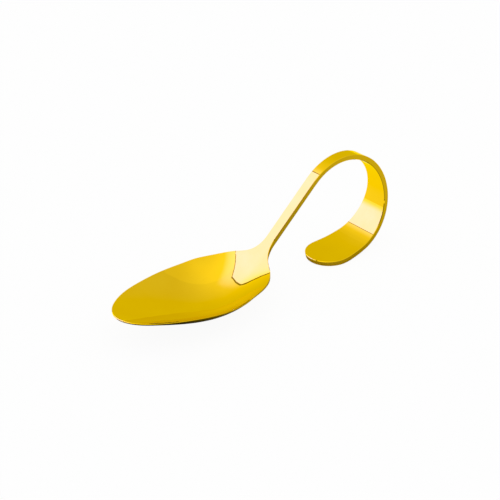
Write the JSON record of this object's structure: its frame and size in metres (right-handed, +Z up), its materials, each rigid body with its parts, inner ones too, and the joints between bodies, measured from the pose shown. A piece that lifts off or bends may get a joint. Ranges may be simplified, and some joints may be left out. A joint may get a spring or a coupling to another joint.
{
  "type": "amuse bouche spoon",
  "caption": "Small tasting spoon in gold-coloured steel: an egg-shaped bowl on a narrow rising stem that widens and curls right over, so the spoon stands by itself.",
  "frame": {"origin": "middle of the spoon's outline seen from above, on the table that it stands on", "axes": "+X from the tip of the bowl to the curled handle, +Y across the spoon, +Z up from the table"},
  "size_m": [0.12, 0.0364, 0.0402],
  "materials": {
    "gold_steel": "mirror-polished, gold-coloured"
  },
  "bodies": {
    "root": {"spoon": "gold_steel"}
  },
  "joints": []
}
